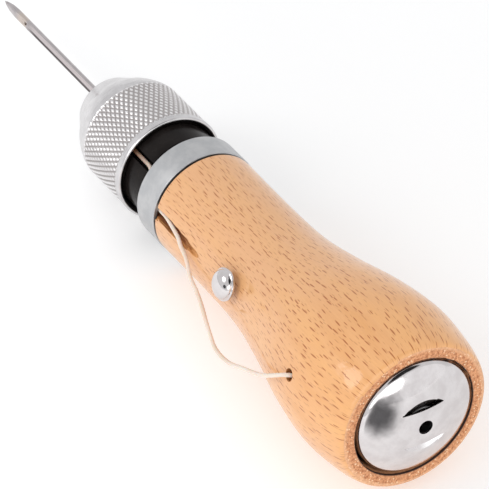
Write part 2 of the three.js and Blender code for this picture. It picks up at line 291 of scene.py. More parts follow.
def loft(rings, closed=False):
    """Points and faces of a skin over rings of points. A closed one joins its last ring to its first,
    and an open one has its end rings filled."""
    rings = np.asarray(rings, float)
    count, sides = rings.shape[:2]
    steps = count if closed else count - 1
    i, j = np.meshgrid(np.arange(steps), np.arange(sides), indexing="ij")
    below, above = i * sides, (i + 1) % count * sides
    following = (j + 1) % sides
    quads = np.stack([below + j, below + following, above + following, above + j], -1).reshape(-1, 4)
    faces = quads.tolist()
    if not closed:
        faces += [list(range(sides))[::-1], list(range((count - 1) * sides, count * sides))]
    return rings.reshape(-1, 3), faces


def lathed(outline, sides=192, shape=None, closed=False):
    """A body of revolution round the awl's axis, from (radius, station) pairs. shape changes the radii
    and stations by the angle in radians: shape(angle, radius, station)."""
    outline = np.asarray(outline, float)
    angle = np.linspace(0, 2 * math.pi, sides, endpoint=False)[None, :]
    radius = np.repeat(outline[:, :1], sides, 1)
    station = np.repeat(outline[:, 1:], sides, 1)
    if shape:
        radius, station = shape(angle, radius, station)
    rings = np.stack([radius * np.cos(angle), radius * np.sin(angle), station], -1)
    return loft(rings, closed)


def rounded(corners, reach, steps=4):
    """The outline with each inner corner rounded off over a reach, which may be one number or one for
    each corner."""
    points = [Vector(corner) for corner in corners]
    reaches = reach if hasattr(reach, "__len__") else [reach] * len(points)
    outline = [tuple(points[0])]
    for before, corner, after, size in zip(points, points[1:], points[2:], reaches[1:]):
        start = corner + (before - corner).normalized() * size
        end = corner + (after - corner).normalized() * size
        for step in range(steps + 1):
            t = step / steps
            outline.append(tuple(start.lerp(corner, t).lerp(corner.lerp(end, t), t)))
    outline.append(tuple(points[-1]))
    return outline


def ring_section(inner, start, outer, end):
    """Corners of a ring's section, from the middle of its inner wall and round to it again."""
    middle = (start + end) / 2
    return [(inner, middle), (inner, start), (outer, start), (outer, end), (inner, end), (inner, middle)]


def spline(points, steps):
    """Uniform Catmull-Rom curve through points of the plane, with its ends held."""
    held = [np.array(p, float) for p in (points[0], *points, points[-1])]
    curve = []
    for a, b, c, d in zip(held, held[1:], held[2:], held[3:]):
        for step in range(steps):
            t = step / steps
            curve.append(0.5 * (2 * b + (c - a) * t + (2 * a - 5 * b + 4 * c - d) * t**2
                                + (3 * b - a - 3 * c + d) * t**3))
    return [*map(tuple, curve), points[-1]]


def centripetal(points, steps):
    """Centripetal Catmull-Rom curve through points in space, which is what the CAD tube follows."""
    held = [2 * points[0] - points[1], *points, 2 * points[-1] - points[-2]]
    curve = []
    for a, b, c, d in zip(held, held[1:], held[2:], held[3:]):
        t1 = (b - a).length ** 0.5
        t2 = t1 + (c - b).length ** 0.5
        t3 = t2 + (d - c).length ** 0.5
        for step in range(steps):
            t = t1 + (t2 - t1) * step / steps
            ab = a.lerp(b, t / t1)
            bc = b.lerp(c, (t - t1) / (t2 - t1))
            cd = c.lerp(d, (t - t2) / (t3 - t2))
            abc = ab.lerp(bc, t / t2)
            bcd = bc.lerp(cd, (t - t1) / (t3 - t1))
            curve.append(abc.lerp(bcd, (t - t1) / (t2 - t1)))
    return [*curve, points[-1]]


def standing_out(points, station, angle, radius):
    """Moves points made round the z axis so that z points straight out of the awl."""
    out = around(0, angle, 1)
    along = Vector((0, 0, 1))
    place = Matrix((out.cross(along), along, out)).transposed()
    return [place @ Vector(p) + around(station, angle, radius) for p in points]


def make_object(name, points, faces, *finishes, crease=CREASE):
    """A closed body in the awl's own frame, with its creases kept sharp."""
    mesh = bpy.data.meshes.new(name)
    mesh.from_pydata([tuple(p) for p in points], [], faces)
    work = bmesh.new()
    work.from_mesh(mesh)
    bmesh.ops.remove_doubles(work, verts=work.verts, dist=1e-5)
    bmesh.ops.recalc_face_normals(work, faces=work.faces)
    work.to_mesh(mesh)
    work.free()
    for finish in finishes:
        mesh.materials.append(finish)
    smooth(mesh, crease)
    obj = bpy.data.objects.new(name, mesh)
    bpy.context.collection.objects.link(obj)
    return obj


def smooth(mesh, crease):
    mesh.polygons.foreach_set("use_smooth", [True] * len(mesh.polygons))
    mesh.set_sharp_from_angle(angle=math.radians(crease))


def cut(obj, *cutters):
    """Takes the cutters out of a piece. The walls of a cut wear the cutter's own finish."""
    for cutter in cutters:
        tool = obj.modifiers.new("cut", "BOOLEAN")
        tool.operation = "DIFFERENCE"
        tool.solver = "EXACT"
        tool.material_mode = "TRANSFER"
        tool.object = cutter
    bpy.context.view_layer.update()
    result = obj.evaluated_get(bpy.context.evaluated_depsgraph_get())
    mesh = bpy.data.meshes.new_from_object(result)
    obj.modifiers.clear()
    obj.data = mesh
    for cutter in cutters:
        bpy.data.objects.remove(cutter)
    smooth(mesh, CREASE)


def mount(obj, body, slot, *nodes):
    """Puts a finished piece into the row frame, where it stands for CAD nodes and moves with their body."""
    obj.data.transform(Matrix.Scale(MM, 4))
    obj.data.transform(AWL)
    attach(obj, body)
    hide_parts(*nodes)
    return obj


# ---------------- finishes

class Finish:
    """A material made of nodes. Its methods add a node and give back its output."""

    def __init__(self, name, **uniform):
        """uniform: values of the shader's sockets that are the same all over."""
        self.material = bpy.data.materials.new(name)
        self.material.use_nodes = True
        self.tree = self.material.node_tree
        self.shader = self.tree.nodes["Principled BSDF"]
        for socket, value in uniform.items():
            self.shader.inputs[socket.replace("_", " ")].default_value = value

    def node(self, kind, inputs, output=0, **settings):
        made = self.tree.nodes.new("ShaderNode" + kind)
        for key, value in settings.items():
            setattr(made, key, value)
        for key, value in dict(inputs).items():
            self.feed(made.inputs[key], value)
        return made.outputs[output]

    def feed(self, socket, value):
        if isinstance(value, bpy.types.NodeSocket):
            self.tree.links.new(value, socket)
        else:
            socket.default_value = value

    def wear(self, **fed):
        """Feeds the shader's sockets and gives back the finished material."""
        for socket, value in fed.items():
            self.feed(self.shader.inputs[socket.replace("_", " ")], value)
        return self.material

    def math(self, operation, *values):
        return self.node("Math", enumerate(values), operation=operation)

    def times(self, a, b):
        return self.math("MULTIPLY", a, b)

    def plus(self, a, b):
        return self.math("ADD", a, b)

    def minus(self, a, b):
        return self.math("SUBTRACT", a, b)

    def distance(self, x, y):
        return self.math("SQRT", self.plus(self.times(x, x), self.times(y, y)))

    def place(self):
        """The awl's own frame, in millimetres."""
        inputs = {
            "Vector": self.node("TexCoord", {}, "Object"),
            "Location": AWL.translation,
            "Rotation": AWL.to_euler(),
            "Scale": (MM, MM, MM),
        }
        return self.node("Mapping", inputs, vector_type="TEXTURE")

    def parts(self, vector):
        """x, y and z of a vector."""
        outputs = self.node("SeparateXYZ", {0: vector}).node.outputs
        return outputs[0], outputs[1], outputs[2]

    def vector(self, x=0.0, y=0.0, z=0.0):
        return self.node("CombineXYZ", {0: x, 1: y, 2: z})

    def scaled(self, vector, *by):
        return self.node("VectorMath", {0: vector, 1: by}, operation="MULTIPLY")

    def unrolled(self, radius):
        """Way round the awl from its top, as an arc at a radius; station; and distance from the axis."""
        x, y, z = self.parts(self.place())
        turn = self.times(self.math("ARCTAN2", y, x), radius)
        return turn, z, self.distance(x, y)

    def noise(self, vector, scale=1.0, detail=2.0, roughness=0.5):
        inputs = {"Vector": vector, "Scale": scale, "Detail": detail, "Roughness": roughness}
        return self.node("TexNoise", inputs)

    def ease(self, value, low, high, start=0.0, end=1.0):
        """A smooth step from start, where value is low, to end, where it is high."""
        inputs = {0: value, 1: low, 2: high, 3: start, 4: end}
        return self.node("MapRange", inputs, interpolation_type="SMOOTHSTEP")

    def mix(self, factor, a, b):
        a, b = ((*c, 1) if isinstance(c, tuple) else c for c in (a, b))
        return self.node("Mix", {0: factor, 6: a, 7: b}, output=2, data_type="RGBA")

    def bump(self, height, distance, strength=1.0):
        """distance in millimetres."""
        return self.node("Bump", {"Strength": strength, "Distance": distance * MM, "Height": height})

    def flecks(self, turn, station, spacing, size, share):
        """Long thin marks in the grain, 1 inside a mark and 0 outside. There may be one in each cell of a
        jittered grid: share is how many cells have one. spacing and size are (across, along) the grain."""
        cells = self.vector(self.math("DIVIDE", turn, spacing[0]), self.math("DIVIDE", station, spacing[1]))
        inputs = {"Vector": cells, "Scale": 1.0, "Randomness": 0.9}
        centre = self.node("TexVoronoi", inputs, "Position", voronoi_dimensions="2D")
        chance, lean, _ = self.parts(centre.node.outputs["Color"])
        away = self.node("VectorMath", {0: cells, 1: centre}, operation="SUBTRACT")
        x, y, _ = self.parts(self.scaled(away, spacing[0] / size[0], spacing[1] / size[1], 0))
        x = self.plus(x, self.times(y, self.minus(lean, 0.5)))
        reach = self.distance(x, y)
        length = self.ease(chance, 1 - share, 1.0, 0.6, 1.1)
        mark = self.ease(self.math("DIVIDE", reach, length), 0.45, 1.0, 1.0, 0.0)
        return self.times(mark, self.math("GREATER_THAN", chance, 1 - share))


def lacquered_beech():
    f = Finish("lacquered_beech", Coat_Weight=0.65, Coat_Roughness=0.09, Coat_IOR=1.5, Specular_IOR_Level=0.3)
    turn, station, _ = f.unrolled(15)
    sway = f.noise(f.vector(f.times(turn, 0.12), f.times(station, 0.03)), 1.0, 1)
    turn = f.plus(turn, f.times(sway, 1.5))
    broad = f.noise(f.vector(turn, f.times(station, 0.12)), 0.28, 3)
    fibre = f.noise(f.vector(turn, f.times(station, 0.05)), 5.0, 3, 0.65)
    bold = f.flecks(turn, station, (1.3, 2.5), (0.15, 1.4), 0.76)
    fine = f.flecks(f.plus(turn, 0.9), f.plus(station, 1.7), (0.95, 1.8), (0.1, 0.9), 0.7)
    pale = f.mix(f.ease(broad, 0.3, 0.7), (0.81, 0.44, 0.2), (0.79, 0.43, 0.215))
    warm = f.mix(f.ease(broad, 0.35, 0.65), (0.84, 0.435, 0.17), (0.8, 0.415, 0.185))
    wood = f.mix(f.ease(station, 55, 12), pale, warm)
    patch = f.times(f.ease(broad, 0.45, 0.7), f.ease(station, 34, 12))
    wood = f.mix(f.times(patch, 0.45), wood, (0.76, 0.35, 0.09))
    wood = f.mix(f.ease(fibre, 0.35, 0.75, 0.0, 0.3), wood, (0.66, 0.31, 0.12))
    wood = f.mix(f.times(fine, 0.5), wood, (0.46, 0.18, 0.06))
    wood = f.mix(f.times(bold, 0.85), wood, (0.38, 0.1, 0.015))
    height = f.minus(f.times(fibre, 0.25), bold)
    ripple = f.bump(f.noise(f.place(), 0.35, 2), 0.06)
    return f.wear(Base_Color=wood, Roughness=f.ease(fibre, 0.3, 0.8, 0.38, 0.55),
                  Normal=f.bump(height, 0.03, 0.6),
                  Coat_Normal=ripple)


def end_grain():
    f = Finish("end_grain", Specular_IOR_Level=0.35)
    place = f.place()
    _, station, reach = f.unrolled(15)
    mottle = f.noise(f.scaled(place, 1, 1, 0.25), 1.5, 5, 0.8)
    pores = f.node("TexVoronoi", {"Vector": f.scaled(place, 1, 1, 0.1), "Scale": 2.4, "Randomness": 1.0})
    sparks = f.node("TexVoronoi", {"Vector": f.scaled(place, 1, 1, 0.2), "Scale": 1.3, "Randomness": 1.0})
    turned = f.noise(f.vector(f.times(reach, 5)), 1.0, 2)
    wood = f.mix(f.ease(mottle, 0.38, 0.6), (0.36, 0.11, 0.035), (0.8, 0.38, 0.18))
    wood = f.mix(f.ease(pores, 0.28, 0.08, 0.0, 0.5), wood, (0.3, 0.09, 0.035))
    wood = f.mix(f.ease(sparks, 0.3, 0.16, 0.0, 0.8), wood, (0.97, 0.72, 0.47))
    wood = f.mix(f.ease(turned, 0.4, 0.7, 0.0, 0.3), wood, (0.68, 0.34, 0.16))
    wood = f.mix(f.ease(reach, 15.5, 16.1, 0.0, 0.55), wood, (0.86, 0.5, 0.28))
    # painted shade: the bore wall and the butt face's edge next to it are darkened
    wood = f.mix(f.ease(reach, 14.3, 13.75, 0.0, 0.6), wood, (0.3, 0.1, 0.04))
    # painted light: the bore wall from about 1 mm in is lightened back to a lit brown
    inside = f.times(f.ease(station, 0.1, 1.2), f.ease(reach, 14.6, 14.0))
    wood = f.mix(inside, wood, (0.6, 0.3, 0.15))
    # painted shadow: a black line on the bore wall just inside its ragged lip
    edge = f.times(f.ease(station, 0.6, 0.4), f.ease(reach, 14.0, 13.85))
    wood = f.mix(edge, wood, (0.03, 0.012, 0.008))
    # painted shade: the bore goes near black deeper than 2 to 5 mm
    wood = f.mix(f.ease(station, 2, 5), wood, (0.045, 0.016, 0.008))
    height = f.plus(mottle, f.times(turned, 0.5))
    return f.wear(Base_Color=wood, Roughness=f.ease(mottle, 0.3, 0.7, 0.6, 0.35),
                  Normal=f.bump(height, 0.12, 0.8))


def raw_beech():
    f = Finish("raw_beech", Specular_IOR_Level=0.25)
    turn, station, reach = f.unrolled(12)
    fibre = f.noise(f.vector(turn, f.times(station, 0.12), reach), 3.5, 4, 0.65)
    wood = f.mix(f.ease(fibre, 0.35, 0.65), (0.42, 0.15, 0.04), (0.8, 0.4, 0.15))
    # painted shade: the wood darkens deeper inside the groove and the holes
    wood = f.mix(f.ease(reach, 12.3, 11.2, 0.0, 0.9), wood, (0.14, 0.035, 0.012))
    return f.wear(Base_Color=wood, Roughness=f.ease(fibre, 0.3, 0.7, 0.9, 0.7), Normal=f.bump(fibre, 0.25))


def satin_zinc():
    f = Finish("satin_zinc", Metallic=1.0)
    turn, station, _ = f.unrolled(12.6)
    brushed = f.noise(f.vector(f.times(turn, 0.25), f.times(station, 9)), 1.0, 3, 0.6)
    cloud = f.noise(f.place(), 0.35, 4, 0.6)
    colour = f.mix(f.ease(cloud, 0.35, 0.65), (0.5, 0.505, 0.515), (0.57, 0.57, 0.575))
    return f.wear(Base_Color=colour, Roughness=f.ease(brushed, 0.3, 0.7, 0.42, 0.55),
                  Normal=f.bump(brushed, 0.01, 0.5))


def turned_aluminium():
    f = Finish("turned_aluminium", Metallic=1.0)
    turn, station, reach = f.unrolled(12.5)
    lines = f.noise(f.vector(f.times(turn, 0.05), f.times(station, 7), f.times(reach, 7)), 1.0, 3)
    cloud = f.noise(f.place(), 0.5, 3)
    colour = f.mix(f.ease(cloud, 0.35, 0.65), (0.62, 0.605, 0.61), (0.69, 0.675, 0.68))
    knurl = f.times(f.math("LESS_THAN", station, KNURL_END), f.math("GREATER_THAN", station, KNURL_START))
    # on the knurl: painted light on the peaks and painted shade in the valleys
    painted_light_and_shade = f.mix(f.ease(reach, 12.46, 12.3), (0.9, 0.885, 0.89), (0.43, 0.4, 0.395))
    colour = f.mix(knurl, colour, painted_light_and_shade)
    return f.wear(Base_Color=colour, Roughness=f.ease(lines, 0.3, 0.7, 0.24, 0.36),
                  Normal=f.bump(lines, 0.012, 0.6))


def polished_steel():
    f = Finish("polished_steel", Metallic=1.0)
    place = f.place()
    haze = f.noise(place, 0.35, 4, 0.6)
    scratch = f.noise(f.scaled(place, 0.4, 9, 3), 1.0, 3, 0.7)
    colour = f.mix(f.ease(haze, 0.3, 0.7), (0.63, 0.595, 0.595), (0.72, 0.69, 0.69))
    return f.wear(Base_Color=colour, Roughness=f.ease(haze, 0.35, 0.75, 0.06, 0.16),
                  Normal=f.bump(scratch, 0.002, 0.5))


def shaded_steel():
    """The dent behind the upper louvre, painted dark as shade."""
    f = Finish("shaded_steel", Metallic=1.0)
    shade_mottle = f.noise(f.place(), 2.2, 4, 0.7)
    colour = f.mix(f.ease(shade_mottle, 0.4, 0.62), (0.025, 0.02, 0.018), (0.1, 0.085, 0.08))
    return f.wear(Base_Color=colour, Roughness=f.ease(shade_mottle, 0.3, 0.7, 0.5, 0.3),
                  Normal=f.bump(shade_mottle, 0.03, 0.5))


def painted_reflection_steel():
    """The dent behind the lower louvre, painted as a bright reflection that is brightest towards one end and
    mottled darker in places.
    """
    f = Finish("painted_reflection_steel", Metallic=1.0)
    place = f.place()
    _, along, _ = f.parts(place)
    painted_light_and_shade = f.noise(f.scaled(place, 1, 3, 1), 1.2, 3, 0.6)
    colour = f.mix(f.ease(along, -1.0, 1.5), (0.68, 0.645, 0.645), (0.99, 0.98, 0.98))
    colour = f.mix(f.ease(painted_light_and_shade, 0.62, 0.75, 0.0, 0.6), colour, (0.4, 0.34, 0.32))
    return f.wear(Base_Color=colour, Roughness=f.ease(painted_light_and_shade, 0.3, 0.7, 0.2, 0.35),
                  Normal=f.bump(painted_light_and_shade, 0.01, 0.5))


def needle_steel():
    f = Finish("needle_steel", Metallic=1.0)
    turn, station, _ = f.unrolled(1)
    ground = f.noise(f.vector(f.times(turn, 9), f.times(station, 0.25)), 1.0, 3, 0.6)
    stain = f.noise(f.place(), 0.3, 3)
    colour = f.mix(f.ease(stain, 0.35, 0.65), (0.45, 0.415, 0.42), (0.52, 0.485, 0.49))
    # a pale beige tint over the eye and the scarf
    beige_by_eye = f.times(f.ease(station, 160.4, 161.4), f.ease(station, 166, 163.5))
    colour = f.mix(f.times(beige_by_eye, 0.6), colour, (0.66, 0.56, 0.48))
    # painted shade: a dark line along the long groove on the shank
    shank = f.ease(station, 161, 156)
    away = f.math("ABSOLUTE", f.minus(turn, math.radians(GROOVE_SIDE)))
    painted_groove_shade = f.ease(away, 0.62, 0.38)
    colour = f.mix(f.times(shank, painted_groove_shade), colour, (0.05, 0.04, 0.04))
    # painted highlight: a pale streak along the shank
    painted_streak_highlight = f.times(f.ease(turn, -1.1, -0.8), f.ease(turn, -0.1, -0.4))
    colour = f.mix(f.times(f.times(shank, painted_streak_highlight), 0.8), colour, (0.78, 0.7, 0.7))
    return f.wear(Base_Color=colour, Roughness=f.ease(ground, 0.3, 0.7, 0.2, 0.36),
                  Normal=f.bump(ground, 0.01, 0.6))


def plated_steel():
    f = Finish("plated_steel", Metallic=1.0)
    cloud = f.noise(f.place(), 0.6, 4, 0.6)
    _, _, reach = f.unrolled(1)
    rings = f.noise(f.vector(f.times(reach, 6)), 1.0, 2)
    colour = f.mix(f.ease(cloud, 0.35, 0.65), (0.47, 0.47, 0.48), (0.56, 0.56, 0.57))
    return f.wear(Base_Color=colour, Roughness=f.ease(cloud, 0.3, 0.7, 0.3, 0.45),
                  Normal=f.bump(rings, 0.01, 0.6))


def turned_brass():
    f = Finish("turned_brass", Metallic=1.0)
    _, station, reach = f.unrolled(4)
    lines = f.noise(f.vector(f.times(station, 8), f.times(reach, 8)), 1.0, 2)
    tarnish = f.noise(f.place(), 0.8, 3)
    colour = f.mix(f.ease(tarnish, 0.35, 0.7), (0.66, 0.45, 0.16), (0.48, 0.31, 0.12))
    return f.wear(Base_Color=colour, Roughness=f.ease(lines, 0.3, 0.7, 0.25, 0.4),
                  Normal=f.bump(lines, 0.012, 0.6))


def black_nylon():
    f = Finish("black_nylon", Specular_IOR_Level=0.07)
    place = f.place()
    flow = f.noise(place, 0.25, 3)
    grain = f.noise(place, 9, 2)
    colour = f.mix(f.ease(flow, 0.3, 0.7), (0.009, 0.007, 0.0065), (0.016, 0.013, 0.012))
    return f.wear(Base_Color=colour, Roughness=f.ease(flow, 0.3, 0.7, 0.16, 0.3),
                  Normal=f.bump(grain, 0.006, 0.5))


def waxed_thread():
    f = Finish("waxed_thread", Subsurface_Weight=0.15, Subsurface_Scale=0.0006, Specular_IOR_Level=0.4)
    place = f.place()
    fuzz = f.noise(place, 7, 4, 0.7)
    stain = f.noise(place, 0.12, 3)
    colour = f.mix(f.ease(stain, 0.35, 0.65), (0.82, 0.69, 0.57), (0.89, 0.8, 0.71))
    colour = f.mix(f.ease(fuzz, 0.3, 0.7, 0.25, 0.0), colour, (0.66, 0.46, 0.32))
    _, station, _ = f.unrolled(1)
    # painted shade: the thread darkens where it runs in under the cap
    colour = f.mix(f.ease(station, 88, 99), colour, (0.2, 0.085, 0.04))
    return f.wear(Base_Color=colour, Roughness=f.ease(fuzz, 0.3, 0.7, 0.5, 0.7),
                  Normal=f.bump(fuzz, 0.06, 0.8))


def pale_floor():
    f = Finish("pale_floor", Roughness=0.9, Specular_IOR_Level=0.1, Emission_Color=(1, 1, 1, 1))
    place = f.node("TexCoord", {}, "Object")
    tone = f.noise(place, 3)
    _, y, _ = f.parts(place)
    glow = f.ease(y, 0.06, -0.06, 0.3, 0.43)
    return f.wear(Base_Color=f.mix(tone, (0.71, 0.71, 0.71), (0.73, 0.73, 0.73)), Emission_Strength=glow)


# ---------------- thread

TWIST_PITCH = 2.6
PLIES = 3


def strand(path, diameter, pitch, sides=18):
    """Rings of a twisted thread along a path, with a lobe for each ply."""
    rings = []
    side = None
    way = 0.0
    for i, point in enumerate(path):
        before, after = path[max(i - 1, 0)], path[min(i + 1, len(path) - 1)]
        tangent = (after - before).normalized()
        if side is None:
            side = tangent.orthogonal()
        side = (side - side.dot(tangent) * tangent).normalized()
        over = tangent.cross(side)
        way += (point - before).length if i else 0
        ring = []
        for k in range(sides):
            turn = 2 * math.pi * k / sides
            lobe = abs(math.cos(PLIES / 2 * (turn - 2 * math.pi * way / pitch)))
            radius = diameter / 2 * (0.82 + 0.18 * lobe**0.6)
            ring.append(point + radius * (math.cos(turn) * side + math.sin(turn) * over))
        rings.append(ring)
    return rings


def make_sewing_thread(finish):
    route = centripetal([around(*point) for point in THREAD_ROUTE], 24)
    points, faces = loft(strand(route, THREAD_DIAMETER - THREAD_CLEARANCE, TWIST_PITCH))
    thread = mount(make_object("loop_thread", points, faces, finish), "handle_assembly", "waxed_thread",
                   "sewing_thread")


# ---------------- handle

def rough_rod(start, end, radius, roughness, steps=60, sides=28):
    """A cutter between two points whose skin wanders in and out as torn wood does."""
    run = end - start
    side = run.orthogonal().normalized()
    over = run.normalized().cross(side)
    rings = []
    for i in range(steps + 1):
        centre = start + run * (i / steps)
        ring = []
        for k in range(sides):
            turn = 2 * math.pi * k / sides
            out = math.cos(turn) * side + math.sin(turn) * over
            spot = centre + out * radius
            tear = noise.noise(Vector((spot.x * 1.6, spot.y * 1.6, spot.z * 0.45)))
            ring.append(centre + out * (radius + roughness * tear))
        rings.append(ring)
    return loft(rings)


def make_handle(side_finish, end_finish, raw_finish):
    bulge = max(radius for radius, _ in HANDLE_SIDE)
    clear = 0.025  # keeps the smooth bulge above the floor that the faceted CAD handle touches
    side = [(min(radius, bulge) - clear, station) for radius, station in spline(HANDLE_SIDE, 14)]
    outline = [(0, BORE_DEPTH), (BORE_RADIUS, BORE_DEPTH)]
    outline += [(BORE_RADIUS, station) for station in np.linspace(24, 1.2, 12)]
    outline += [(BORE_RADIUS + 0.05, 0.5), (BORE_RADIUS + 0.2, 0.12), (BORE_RADIUS + 0.45, 0)]
    outline += [(radius, 0) for radius in np.linspace(14.5, 15.6, 4)]
    outline += [(15.85, 0.05), *[p for p in side if p[1] > 0.15 and p[1] < SHOULDER_AT - 0.2]]
    outline += [(side[-1][0] - 0.03, SHOULDER_AT - 0.12), (side[-1][0] - 0.15, SHOULDER_AT)]
    outline += [(TENON_RADIUS + 0.1, SHOULDER_AT), (TENON_RADIUS, TENON_END),
                (SPIGOT_HOLE_RADIUS, TENON_END), (SPIGOT_HOLE_RADIUS, SPIGOT_HOLE_END), (0, SPIGOT_HOLE_END)]

    def tears(angle, fineness, seed):
        """Random heights round the bore."""
        spots = [Vector((math.cos(a) * fineness, math.sin(a) * fineness, seed)) for a in angle[0]]
        return np.array([noise.noise(spot) for spot in spots])

    def ragged_lip(angle, radius, station):
        """The bore's edge is torn out in places, most of all at the top."""
        torn = tears(angle, 9, 3) + 0.5 * tears(angle, 31, 5)
        at_lip = np.exp(-((radius - BORE_RADIUS) / 0.4) ** 2) * (station < 0.6)
        share = 0.6 + 0.4 * np.cos(angle)
        return radius + at_lip * share * 0.34 * torn, station

    points, faces = lathed(outline, 288, ragged_lip)
    handle = make_object("handle_wood", points, faces, side_finish, end_finish)
    for polygon in handle.data.polygons:
        stations = [handle.data.vertices[v].co.z for v in polygon.vertices]
        reach = max(handle.data.vertices[v].co.xy.length for v in polygon.vertices)
        middle = polygon.center
        angle = math.atan2(middle.y, middle.x) - math.radians(END_GRAIN_LEAST_ANGLE)
        share = (0.5 - 0.5 * math.cos(angle)) ** 2
        least, most = END_GRAIN_END
        at_butt = max(stations) < least + (most - least) * share
        in_bore = reach < BORE_RADIUS + 0.6 and max(stations) < BORE_DEPTH + 1
        at_tenon = min(stations) > SHOULDER_AT - 0.2 or reach < SPIGOT_HOLE_RADIUS + 0.1
        polygon.material_index = int(at_butt or in_bore or at_tenon)

    run_out = around(*GROOVE_RUN_OUT)
    past_shoulder = run_out + (around(*GROOVE_SHOULDER) - run_out) * 1.3
    groove = rough_rod(run_out, past_shoulder, GROOVE_RADIUS, GROOVE_ROUGHNESS)
    chip = rough_rod(around(*CHIP_START), around(*CHIP_END), CHIP_RADIUS, CHIP_ROUGHNESS, 20)
    mouth = [(0, -7), (SIDE_HOLE_RADIUS, -7), (SIDE_HOLE_RADIUS, -1.2), (SIDE_HOLE_RADIUS - 0.2, -0.6),
             (SIDE_HOLE_RADIUS - 0.1, 0.1), (SIDE_HOLE_RADIUS, 0.5), (SIDE_HOLE_RADIUS, 3), (0, 3)]
    hole_points, hole_faces = lathed(mouth, 48)
    hole_points = standing_out(hole_points, SIDE_HOLE_AT, SIDE_HOLE_ANGLE, SIDE_HOLE_SURFACE)
    socket = [(0, 0), (POST_SOCKET_RADIUS, 0), (POST_SOCKET_RADIUS, 12), (0, 12)]
    socket_points, socket_faces = lathed(socket, 32)
    socket_points = standing_out(socket_points, POST_AT, POST_ANGLE, POST_SOCKET_FOOT)
    cut(handle,
        make_object("groove", *groove, raw_finish),
        make_object("chip", *chip, raw_finish),
        make_object("hole", hole_points, hole_faces, raw_finish),
        make_object("socket", socket_points, socket_faces, raw_finish))
    mount(handle, "handle_assembly", "beech", "handle")


def make_ferrule(finish):
    start, end, radius = extent("ferrule")
    wall = 1.0
    outline = rounded(ring_section(radius - wall, start, radius, end), [0, 0.15, 0.22, 0.45, 0.3, 0])

    def beaten(angle, radius, station):
        """Rolled sheet is never quite round."""
        return radius * (1 - 0.0015 * (1 + np.cos(3 * angle + 1))), station

    points, faces = lathed(outline[:-1], 256, beaten, closed=True)
    mount(make_object("ferrule_ring", points, faces, finish), "handle_assembly", "zinc", "ferrule")


def make_tension_post(finish):
    seat = POST_HEAD_SEAT - POST_FOOT
    rim = 0.55
    shank = POST_SHANK_RADIUS
    head = POST_HEAD_RADIUS
    outline = [(0, 0), (shank * 0.4, 0), (shank, 1.6), (shank, seat - 0.4), (shank + 0.12, seat - 0.12),
               (shank + 0.4, seat)]
    corners = [(head - 0.5, seat), (head, seat), (head, seat + rim), (head - 0.28, seat + rim + 0.12)]
    outline += rounded(corners, 0.14)
    dome_foot = head - 0.32
    rise = POST_HEAD_HEIGHT - rim - 0.1
    for turn in np.linspace(0.04, math.pi / 2, 28):
        outline.append((dome_foot * math.cos(turn), seat + rim + 0.1 + rise * math.sin(turn)))
    points, faces = lathed(outline, 96)
    points = standing_out(points, POST_AT, POST_ANGLE, POST_FOOT)
    stud = make_object("post_stud", points, faces, finish)
    mount(stud, "handle_assembly", "polished_steel", "tension_post")


# ---------------- chuck, needle and cap

SCREW_PITCH = 2.0
SCREW_START = 97.4
SLOT_ANGLE = -46.4
SLOT_WIDTH = 2.2
SLOT_FLOOR = 9.2
SLOT_START = 90.8
CHUCK_NECK_START = 86.8
CHUCK_NECK_END = 91
BARREL_START = 91.6


def make_chuck(finish):
    tail, front, radius = extent("chuck_body")
    neck = 9.6
    spigot = 7.3
    hole = 1.5
    corners = [(spigot * 0.5, tail), (spigot, tail), (spigot, CHUCK_NECK_START), (neck, CHUCK_NECK_START),
               (neck, CHUCK_NECK_END), (radius, CHUCK_NECK_END), (radius, BARREL_START)]
    outline = [(0, tail), *rounded(corners, 0.35, 5)[1:]]
    outline += [(radius, station) for station in np.arange(BARREL_START, front - 0.8, 0.11)]
    outline += [(radius - 0.25, front - 0.2), (radius - 0.6, front), (hole, front), (hole, 93), (0, 93)]

    def screw(angle, r, station):
        """Rounded screw thread on the barrel, faded in at its start."""
        phase = station / SCREW_PITCH - angle / (2 * math.pi)
        wave = np.abs(2 * (phase % 1) - 1)
        depth = 0.75 * np.clip((station - SCREW_START) / 1.5, 0, 1) * (r > radius - 0.05)
        return r - depth * np.clip(1.35 * wave - 0.25, 0, 1), station

    points, faces = lathed(outline, 192, screw)
    chuck = make_object("chuck_moulding", points, faces, finish, crease=50)
    side = [(SLOT_FLOOR, SLOT_START), (radius + 1, SLOT_START), (radius + 1, front + 1), (0.8, front + 1),
            (0.8, 105), (SLOT_FLOOR, 99.5)]
    half = SLOT_WIDTH / 2
    rings = [[(x, y, z) for x, z in side] for y in (-half, half)]
    slot_points, slot_faces = loft(rings)
    turned = Matrix.Rotation(math.radians(SLOT_ANGLE), 3, "Z")
    cut(chuck, make_object("slot", [turned @ Vector(p) for p in slot_points], slot_faces, finish))
    mount(chuck, "handle_assembly", "black_nylon", "chuck_body")


KNURL_START = 98.9
KNURL_END = 112.5
KNURL_CELLS = 62
KNURL_DEPTH = 0.26
KNURL_SLOPE = 2.13  # length of a cell along the axis


